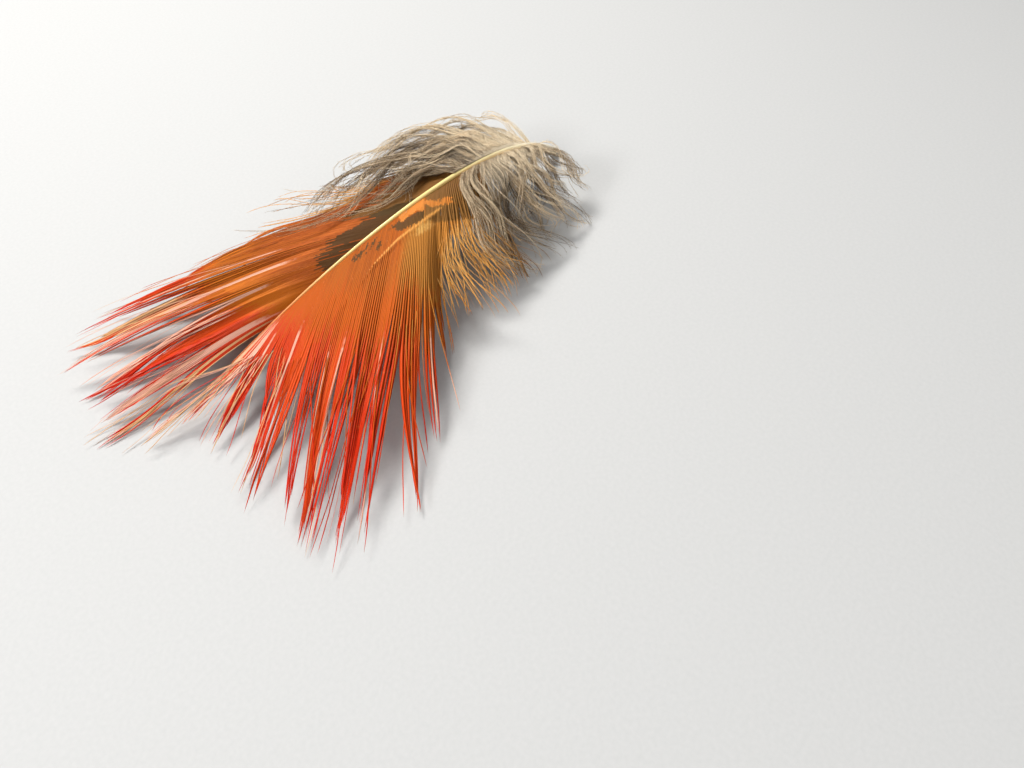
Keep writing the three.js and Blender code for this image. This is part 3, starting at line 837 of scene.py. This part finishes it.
def vane_widths(locks, side, plan, barbs, part, cover, dice, seed):
    """Half widths: the share cover of the gap while the hooks hold, then a thread or a part of that, lock by lock."""
    count = len(plan["place"])
    gather = np.where(plan["zipped"], 1.9, 1.4)
    calm = lock_paths(locks, side, plan, part, gather=gather)[0]
    own = {key: plan[key][:barbs] for key in ("place", "lock")}
    gap = np.full(part.shape, 0.2)
    gap[:barbs] = gap_to_neighbours(calm[:barbs], own)
    frayed = plan["frayed"][:, None]
    share = np.random.default_rng(seed + 1).uniform(0.3, 0.8, len(locks))[plan["lock"], None]
    share = np.maximum(share, plan["zipped"][:, None]) * (1 - frayed) * ~plan["stray"][:, None]
    hooked = (1 - smooth(part, 0.45 - 0.1 * frayed, 0.8 - 0.18 * frayed)) * ~plan["extra"][:, None]
    thread = dice.uniform(0.055, 0.09, (count, 1)) - 0.015 * plan["extra"][:, None]
    band = np.maximum(cover * np.clip(gap, 0.1, 0.45), thread)
    free = thread + (band - thread) * share
    half = free + (band - free) * hooked
    end = plan["end"][:, None]
    return half * (1 - 0.65 * smooth(part, 0.93 * end, end)), hooked, gap


# %% Fields that the vane's finish reads
def vane_fields(plan, part, paths, half, hooked, marks, styles, side, dice):
    """Numbers on every corner: where it is on the feather, its barb's tone, the marks, where colours change, and
    where painted highlight and painted shade go.
    """
    place = plan["place"][:, None] + 0 * part
    reach = reach_along(paths) + (plan["start"] * 20)[:, None]
    red = reach - np.interp(place, styles["scarlet"][:, 0], styles["scarlet"][:, 1])
    red = red + dice.normal(0, 1.1, (len(place), 1))
    shift = dice.normal(0, 0.45, (len(place), 1)) + 0 * part
    locks = np.arange(plan["lock"].max() + 1)
    lock_tone = dice.uniform(0, 1, len(locks))[plan["lock"]]
    tone = plan["tone"]
    # painted highlight: the pinkish-white sheen goes on part of the barbs of listed locks, on a few chance barbs and on
    # the streak barbs
    painted_sheen = np.isin(locks, styles["painted_sheen"])[plan["lock"]] * (tone < 0.6) | (tone > 0.93)
    painted_sheen_streaks = sum((np.abs(plan["place"] - middle) < half_wide) * smooth(reach, start, start + 6).T
                   for middle, half_wide, start in styles["streaks"]).T
    straw = np.isin(locks, styles["straw"])[plan["lock"]] * (tone > 0.4) | plan["extra"] & (tone > 0.72)
    offset, on = crease_offset(place, reach)
    zero = 0 * half
    sideways = np.stack([half, zero + CREST_HALF, zero, zero + CREST_HALF, half, zero], -1)
    spread = {
        "place": place, "reach": reach, "red": red, "tone": plan["tone"][:, None],
        "lock_tone": lock_tone[:, None] * smooth(red, -2, 4),
        "loose": plan["frayed"][:, None] * smooth(part, 0.3, 0.65),
        "painted_sheen": np.maximum(painted_sheen[:, None] * smooth(red, -2, 8), painted_sheen_streaks),
        "straw": straw[:, None] * smooth(red, 0, 9),
        "crease": offset,
        "crease_on": on * (side < 0),
        "soft": smooth(reach, 5, 11) * (1 - smooth(place, 27, 30)),
    }
    spread.update(marks(place, reach, shift, spread["tone"]))
    fields = {key: value[..., None] for key, value in spread.items()}
    lined = np.maximum(1 - smooth(place, 37, 43.5), 0.45 * smooth(reach, 6, 12)) * smooth(reach, 1, 5)
    lined = lined * (1 - 0.8 * smooth(red, -2, 6))
    fields["lined"] = (lined * (1 if side < 0 else 0.25))[..., None]
    # painted highlight along the crest of each ribbon
    fields["crest"] = np.array([0, 0.2, 1, 0.2, 0, 0]) * (0.3 + 0.8 * fields["lined"] + 0.3 * (1 - hooked[..., None]))
    fields["under"] = np.array([0, 0, 0, 0, 0, 0.8])[None, None]
    # painted shade in the gaps between barbs: darkens the ribbons' edges and keel, most in the lined zone, less towards
    # the quill
    gap_shade_strength = (0.4 + 0.6 * smooth(place, 35, 39))[..., None]
    fields["edge"] = np.array([0.5, 0, 0, 0, 0.5, 0.3]) * (0.35 + 1.1 * fields["lined"] * gap_shade_strength)
    fields["chevron"] = reach[..., None] - 0.9 * sideways
    return fields


# %% Vane builder
def build_vane(name, locks, side, marks, material, seed, styles):
    """Ribbons on the barb surface, and loose barbules on the frayed ones, in one closed mesh."""
    dice = np.random.default_rng(seed)
    plan, barbs = vane_plan(locks, styles, dice)
    count = len(plan["place"])
    share = np.linspace(0, 1, VANE_STATIONS)[None] ** 1.25
    part = plan["start"][:, None] + (plan["end"] - plan["start"])[:, None] * share
    paths = vane_paths(locks, side, plan, part, dice, seed)
    half, hooked, gap = vane_widths(locks, side, plan, barbs, part, styles["cover"], dice, seed)
    fields = vane_fields(plan, part, paths, half, hooked, marks, styles, side, dice)
    lined = fields["lined"][..., 0]
    twist = -(0.06 + 0.1 * lined) * hooked + dice.normal(0, 0.5, (count, 1)) * smooth(part, 0.5, 1.0)
    rings = ribbon_rings(paths, side, half, twist, relief=np.maximum(0.35 + 0.65 * lined, 1 - hooked))
    rings[:, -1] = paths[:, -1:, :]
    rings[..., 2] = np.maximum(rings[..., 2], GROUND_GAP)
    groups = [{"rings": rings, "cells": cells_in_row(count, 0.0, 0.78), "shares": RIBBON_SHARES, "fields": fields}]
    frayed = plan["frayed"] * ~plan["extra"]
    loose, barb, place_on = spikes_on(paths, side, dice, 0.35, 1.2, 0.05, 0.3, 0.98, lean=(12, 35), roll=60,
                                      weight=lambda barb, share: frayed[barb] * smooth(share, 0.35, 0.6))
    station = np.clip(np.round(place_on * (VANE_STATIONS - 1)).astype(int), 0, VANE_STATIONS - 1)
    spike_fields = {key: np.broadcast_to(value, rings.shape[:3])[barb, station, 0][:, None, None]
                    for key, value in fields.items()}
    # no painted gap shade on the loose barbules
    spike_fields["edge"] = np.zeros((1, 1, 1))
    groups.append({"rings": loose, "cells": cells_in_grid(len(barb), (0.8, 0.0), (1.0, 1.0)),
                   "shares": SPIKE_SHARES, "fields": spike_fields})
    print(name + ":", barbs, "barbs,", count - barbs, "threads,", len(barb), "loose barbules, gap beside the shaft",
          round(float(np.median(gap[:barbs, 2])), 2), "mm")
    return write_mesh(name, groups, material)


# %% Both vanes
# barbs are spans of places with the distance between barbs in them, cover is a ribbon's half width as a share of
# that distance, ribbons are the locks that stay zipped, then come the locks that get a painted pinkish-white
# sheen outwards and those that are straw outwards, streaks are single barbs with a painted glossy pinkish sheen,
# with their place, half width and the reach from which the sheen is painted, threads are ranges of places with a
# number and a sideways lean in mm of extra threads, and loose is the range whose barbs are frayed
BLOTCHED_STYLES = {
    "barbs": ((27.0, SHAFT_END - 0.2, BARB_SPACING),), "cover": 0.85, "ribbons": (9, 10, 11, 12, 13, 14, 16, 18, 20), "painted_sheen": (14, 17, 20), "straw": (13, 21),
    "streaks": ((48.0, 0.4, 9.0), (52.4, 0.4, 8.5), (44.0, 0.2, 14.0), (62.0, 0.6, 2.0)),
    "threads": ((36.0, 60.0, 34, 0.0), (60.0, 66.8, 18, 0.0)), "loose": (27, 34), "scarlet": SCARLET_FROM_BLOTCHED,
}
FRAYED_STYLES = {
    "barbs": ((25.0, 32.5, BARB_SPACING), (32.5, 42.0, CLOSE_SPACING), (42.0, SHAFT_END - 0.2, BARB_SPACING)),
    "cover": 0.66, "ribbons": (13, 15, 18, 20), "painted_sheen": (21, 22), "straw": (22,),
    "streaks": ((36.2, 0.15, 22.0), (56.0, 0.2, 7.0), (61.0, 0.2, 4.0)),
    "threads": ((27.0, 34.0, 64, 0.0), (36.0, 60.0, 44, 0.0), (60.0, 66.8, 18, 0.0), (60.5, 63.5, 7, 7.0)),
    "loose": (27, 34), "scarlet": SCARLET_FROM_FRAYED,
}
blotched_vane = build_vane("blotched_vane", BLOTCHED_LOCKS, 1, blotched_marks, blotched_barbs, 11, BLOTCHED_STYLES)
frayed_vane = build_vane("frayed_vane", FRAYED_LOCKS, -1, frayed_marks, frayed_barbs, 23, FRAYED_STYLES)
for vane in (blotched_vane, frayed_vane):
    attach(vane, "root")
    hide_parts("feather")

# %% [markdown]
# ## The down
# Down has barbs without hooks, which gather in waving wisps and carry long soft barbules all the way. It is
# grey-brown, pale and fluffy at the shaft. The wisps that lie on top get painted highlight and pale painted
# stems, and the deeper wisps painted shade. Hair curves would be simpler to draw, but they leave no closed
# surface, so each strand is a thin three-sided tube with its barbules as spikes, and the strands of one wisp
# wave, rise and curl together.

# %% Finish of the down
down_material, tree, shader = new_material("matt_grey_brown_down")
read = {field: grow(tree, "ShaderNodeAttribute", attribute_name=field).outputs["Fac"]
        for field in ("tone", "foot", "painted_stem_highlight")}
lie = grow(tree, "ShaderNodeTexCoord").outputs["Object"]
patches = grow(tree, "ShaderNodeTexNoise", {"Vector": lie, "Scale": 300.0, "Detail": 3.0}).outputs["Fac"]
# tone is partly a chance shade per strand and partly the height of its wisp, so deep wisps get painted shade and upper
# ones painted highlight
tone_and_painted_depth_shade = grow(tree, "ShaderNodeMath", {0: patches, 1: 0.5, 2: read["tone"]}, operation="MULTIPLY_ADD").outputs[0]
mask = grow(tree, "ShaderNodeMapRange", {"Value": tone_and_painted_depth_shade, "From Min": 0.4, "From Max": 1.15}).outputs["Result"]
color = grow(tree, "ShaderNodeMix", {0: mask, 6: linear("#34210e"), 7: linear("#e0c098")}, data_type="RGBA").outputs[2]
# painted highlight: pale stems on the upper strands
color = grow(tree, "ShaderNodeMix", {0: read["painted_stem_highlight"], 6: color, 7: linear("#fbe8c6")}, data_type="RGBA").outputs[2]
color = grow(tree, "ShaderNodeMix", {0: read["foot"], 6: color, 7: linear("#fff0d4")}, data_type="RGBA").outputs[2]
tree.links.new(color, shader.inputs["Base Color"])
shader.inputs["Roughness"].default_value = 0.55
shader.inputs["IOR"].default_value = KERATIN_IOR
shader.inputs["Specular IOR Level"].default_value = 0.3
shader.inputs["Sheen Weight"].default_value = 0.75
shader.inputs["Sheen Roughness"].default_value = 0.35
shader.inputs["Sheen Tint"].default_value = linear("#fff2dc")

# %% Down builder
DOWN_STATIONS = 26
STRAND_RADIUS = 0.05
WISP_STRANDS = 7


def down_paths(locks, side, plan, part, thick, curl, dice, **growth):
    """Lock paths that wave: every wisp has its own sine wave sideways and upwards, its own height in the layer
    and its own hook at the end, and its strands fan out a little. Also the height of each strand's wisp."""
    count = len(plan["place"])
    wisp = np.cumsum(dice.uniform(0, 1, count) < 1 / WISP_STRANDS)
    waves, phase, size, layer, hook = dice.uniform(0, 1, (5, wisp.max() + 1))[:, wisp, None]
    paths, even = lock_paths(locks, side, plan, part, gather=1.3, **growth)
    along, across, out = directions(paths, side)
    turn = 2 * np.pi * ((1.15 + 0.9 * waves) * part + phase + dice.normal(0, 0.035, (count, 1)))
    sway = (1.0 + 1.7 * size) * part * np.sin(turn) + 3.6 * (hook - 0.5) * smooth(part, 0.7, 1.0) ** 2
    back, start = curl
    sway = sway - back * (0.4 + 0.6 * waves) * smooth(part, start, 1.0) ** 1.5
    lift = (0.3 + 0.6 * size) * part * np.sin(1.3 * turn + 1.5) + layer * thick * np.sin(0.93 * np.pi * part)
    fan = dice.normal(0, 1, (2, count, 1)) * part ** 2
    sway = sway + 0.7 * fan[0] + wander(dice, count, part, 0.22, 1.8)
    lift = lift + 0.35 * fan[1] + wander(dice, count, part, 0.15, 1.8)
    paths = paths + across * sway[..., None] + out * lift[..., None]
    paths[..., 2] = np.maximum(paths[..., 2] + 0.15, 0.12)
    return paths, layer[:, 0]


def build_down(name, sides, material, seed, step):
    """Strands in wisps with spikes all along. sides is a list of locks, side, first and last place, number of
    strands, shares of a full length between which they end, thickness of the layer they fill, how far their ends
    curl back and from which share of their length, and how they grow."""
    dice = np.random.default_rng(seed)
    groups, strands = [], 0
    for number, (locks, side, first, last, many, ends, thick, curl, growth) in enumerate(sides):
        plan = plan_barbs(locks, first, last, (last - first) / many, dice)
        count = len(plan["place"])
        part = np.linspace(0, 1, DOWN_STATIONS)[None] * dice.uniform(*ends, (count, 1))
        paths, layer = down_paths(locks, side, plan, part, thick, curl, dice, **growth)
        along, across, out = directions(paths, side)
        turn = 2 * np.pi * np.arange(3) / 3
        radius = STRAND_RADIUS * (1 - 0.6 * part)[..., None, None]
        rings = paths[:, :, None] + radius * (
            across[:, :, None] * np.cos(turn)[:, None] + out[:, :, None] * np.sin(turn)[:, None])
        rings[:, -1] = paths[:, -1:, :]
        # painted shade and highlight: lower wisps darker and upper wisps lighter, on top of a chance tone per strand
        tone = 0.4 * dice.uniform(0, 1, count) + 0.6 * layer
        foot = (1 - smooth(plan["place"], 17, 30))[:, None] * (1 - smooth(part, 0.12, 0.55))
        fields = {"tone": tone[:, None, None], "foot": foot[..., None],
                  "painted_stem_highlight": (0.95 * smooth(tone, 0.3, 0.9))[:, None, None]}
        spikes, barb, share = spikes_on(paths, side, dice, step, 1.5, 0.05, 0.02, 0.99, lean=(8, 32), roll=80,
                                        bent=False)
        station = np.clip(np.round(share * (DOWN_STATIONS - 1)).astype(int), 0, DOWN_STATIONS - 1)
        left = number / len(sides)
        middle = left + 0.25 / len(sides)
        right = (number + 0.98) / len(sides)
        groups.append({"rings": rings, "cells": cells_in_row(count, left, middle), "shares": SPIKE_SHARES,
                       "fields": fields})
        groups.append({"rings": spikes, "cells": cells_in_grid(len(barb), (middle, 0), (right, 1)),
                       "shares": SPIKE_SHARES,
                       "fields": {"tone": tone[barb][:, None, None],
                                  "painted_stem_highlight": (0.65 * smooth(tone, 0.4, 0.9))[barb][:, None, None],
                                  "foot": 0.8 * foot[barb, station][:, None, None]}})
        strands += count
    print(name + ":", strands, "strands")
    return write_mesh(name, groups, material)


# %% Down of both sides, the wisps that hang back over the blotched vane, and the second feather beneath
HANGING_LOCKS = np.array([[10, 20, 19.5, 8.0], [14, 24.5, 20, 9.0], [18, 29, 20, 9.6], [22, 33.5, 19, 9.6],
                          [26, 38, 18.5, 9.2], [30, 42.5, 18.5, 8.2]])
NEARER_LOCKS = np.array([[16, 24, 11, 10.0], [20, 27.5, 9.5, 10.8], [24, 31, 9, 11.2], [28, 35, 9, 10.8],
                         [31, 38, 9.5, 10.0]])
HANGING_GROWTH = {"below": -0.5, "puff": 2.0}
AFTER_GROWTH = {"below": 1.0, "openness": 0.4, "puff": 0.0}
LONG = (0.72, 1.0)
SHORT = (0.25, 0.5)
CURLED = {"openness": 0.65}
blotched_down = build_down("blotched_side_down", [
    (BLOTCHED_LOCKS, 1, 8.4, 28.0, 100, LONG, 2.4, (-4.0, 0.55), {}),
    (HANGING_LOCKS, 1, 12.5, 27.0, 110, LONG, 1.6, (-28.0, 0.3), HANGING_GROWTH),
    (NEARER_LOCKS, 1, 17.0, 30.5, 120, LONG, 1.2, (-14.0, 0.1), HANGING_GROWTH),
], down_material, 31, 0.22)
frayed_down = build_down("frayed_side_down", [
    (FRAYED_LOCKS, -1, 8.4, 28.5, 280, LONG, 2.4, (4.0, 0.55), CURLED),
    (FRAYED_LOCKS, -1, 8.4, 24.0, 110, SHORT, 2.0, (0.0, 0.55), CURLED),
], down_material, 37, 0.2)
afterfeather = build_down("afterfeather", [
    (AFTER_LOCKS, 1, 8.0, 12.2, 36, LONG, 0.9, (0.0, 0.55), AFTER_GROWTH),
    (AFTER_LOCKS_OTHER, -1, 8.0, 12.2, 36, LONG, 0.9, (0.0, 0.55), AFTER_GROWTH),
], down_material, 41, 0.25)
for down in (blotched_down, frayed_down, afterfeather):
    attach(down, "root")
    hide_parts("feather")

# %% [markdown]
# ## The floor
# A sheet of pale matt paper, which isn't part of the feather. A very fine grain keeps it from looking like a
# plastic sheet.

# %% Floor
paper, tree, shader = new_material("pale_matt_paper")
grain = grow(tree, "ShaderNodeTexNoise", {"Scale": 1800.0, "Detail": 3.0})
tree.links.new(grow(tree, "ShaderNodeTexCoord").outputs["Object"], grain.inputs["Vector"])
mask = grow(tree, "ShaderNodeMapRange", {"Value": grain.outputs["Fac"], "To Min": 0.0, "To Max": 1.0}).outputs["Result"]
color = grow(tree, "ShaderNodeMix", {0: mask, 6: linear("#c3c5c6"), 7: linear("#cdcecf")}, data_type="RGBA").outputs[2]
tree.links.new(color, shader.inputs["Base Color"])
shader.inputs["Roughness"].default_value = 0.85
FLOOR_HALF = 1.5
floor_mesh = bpy.data.meshes.new("floor")
floor_mesh.from_pydata([(-FLOOR_HALF, -FLOOR_HALF, 0), (FLOOR_HALF, -FLOOR_HALF, 0), (FLOOR_HALF, FLOOR_HALF, 0),
                        (-FLOOR_HALF, FLOOR_HALF, 0)], [], [(0, 1, 2, 3)])
floor_mesh.materials.append(paper)
floor = bpy.data.objects.new("floor", floor_mesh)
bpy.context.collection.objects.link(floor)
